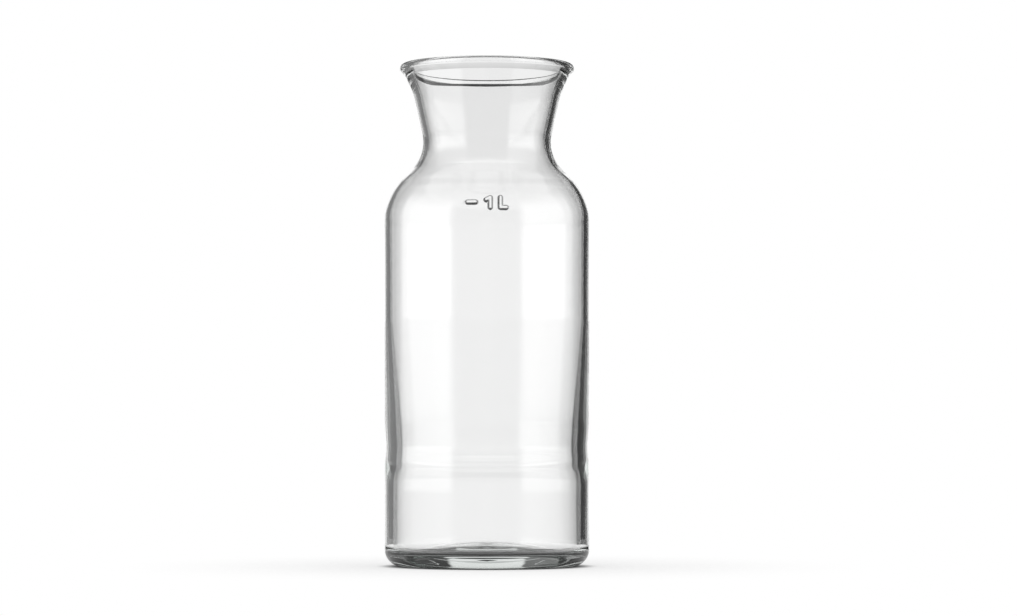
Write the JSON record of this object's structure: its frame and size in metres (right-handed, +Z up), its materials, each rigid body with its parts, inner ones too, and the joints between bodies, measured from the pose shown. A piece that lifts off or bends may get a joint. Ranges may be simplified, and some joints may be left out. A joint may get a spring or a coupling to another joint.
{
  "type": "glass carafe",
  "caption": "Clear glass serving carafe: flared rolled-edge mouth, waisted pouring neck, rounded shoulder with a capacity mark, straight body with a low grip groove, heavy domed base.",
  "frame": {"origin": "centre of the foot ring, on the plane that the carafe stands on", "axes": "+Z up along the axis of revolution, towards the mouth; -Y is the side of the capacity mark"},
  "size_m": [0.0966, 0.0966, 0.236],
  "materials": {
    "clear_glass": "fire-polished, clear and colourless, slightly wavy inside"
  },
  "bodies": {
    "root": {"carafe": "clear_glass"}
  },
  "joints": []
}
